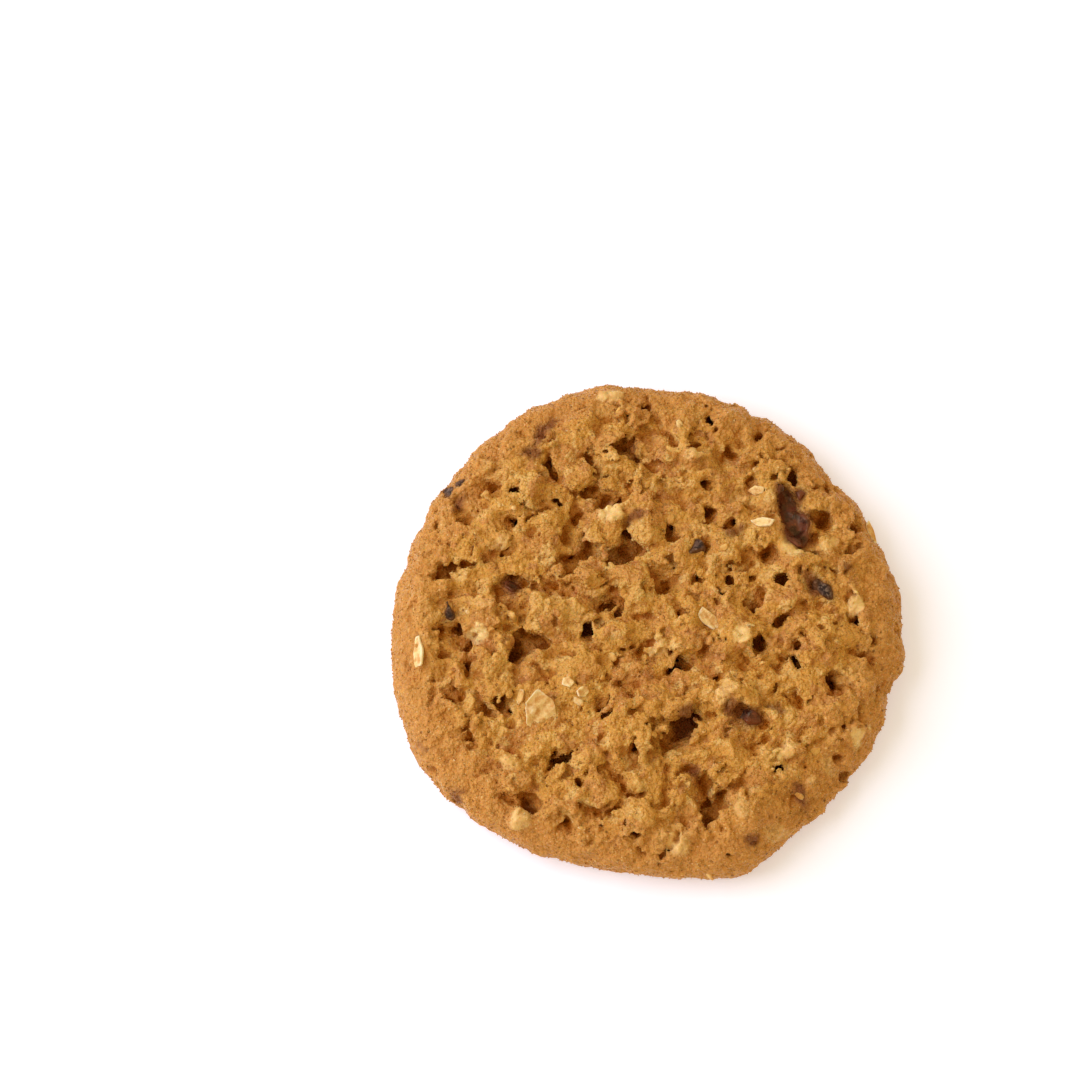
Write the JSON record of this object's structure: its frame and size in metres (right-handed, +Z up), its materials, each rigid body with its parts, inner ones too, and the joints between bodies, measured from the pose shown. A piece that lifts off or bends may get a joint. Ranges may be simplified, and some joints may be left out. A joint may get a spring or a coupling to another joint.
{
  "type": "oat biscuit with toffee pieces",
  "caption": "Round, low baked oat biscuit with a smooth browned rim, a craggy pitted crown, and oat flakes, toffee and dark fruit bits baked into it; a snack food.",
  "frame": {"origin": "middle of the flat underside, where the biscuit rests", "axes": "+Z up through the crown, +X to the right and +Y away from the viewer in the view that shows its top"},
  "size_m": [0.068, 0.0676, 0.0112],
  "materials": {
    "crust": "matte",
    "oat": "matte",
    "toffee": "gloss",
    "fruit": "satin"
  },
  "bodies": {
    "root": {"biscuit": "crust"}
  },
  "joints": []
}
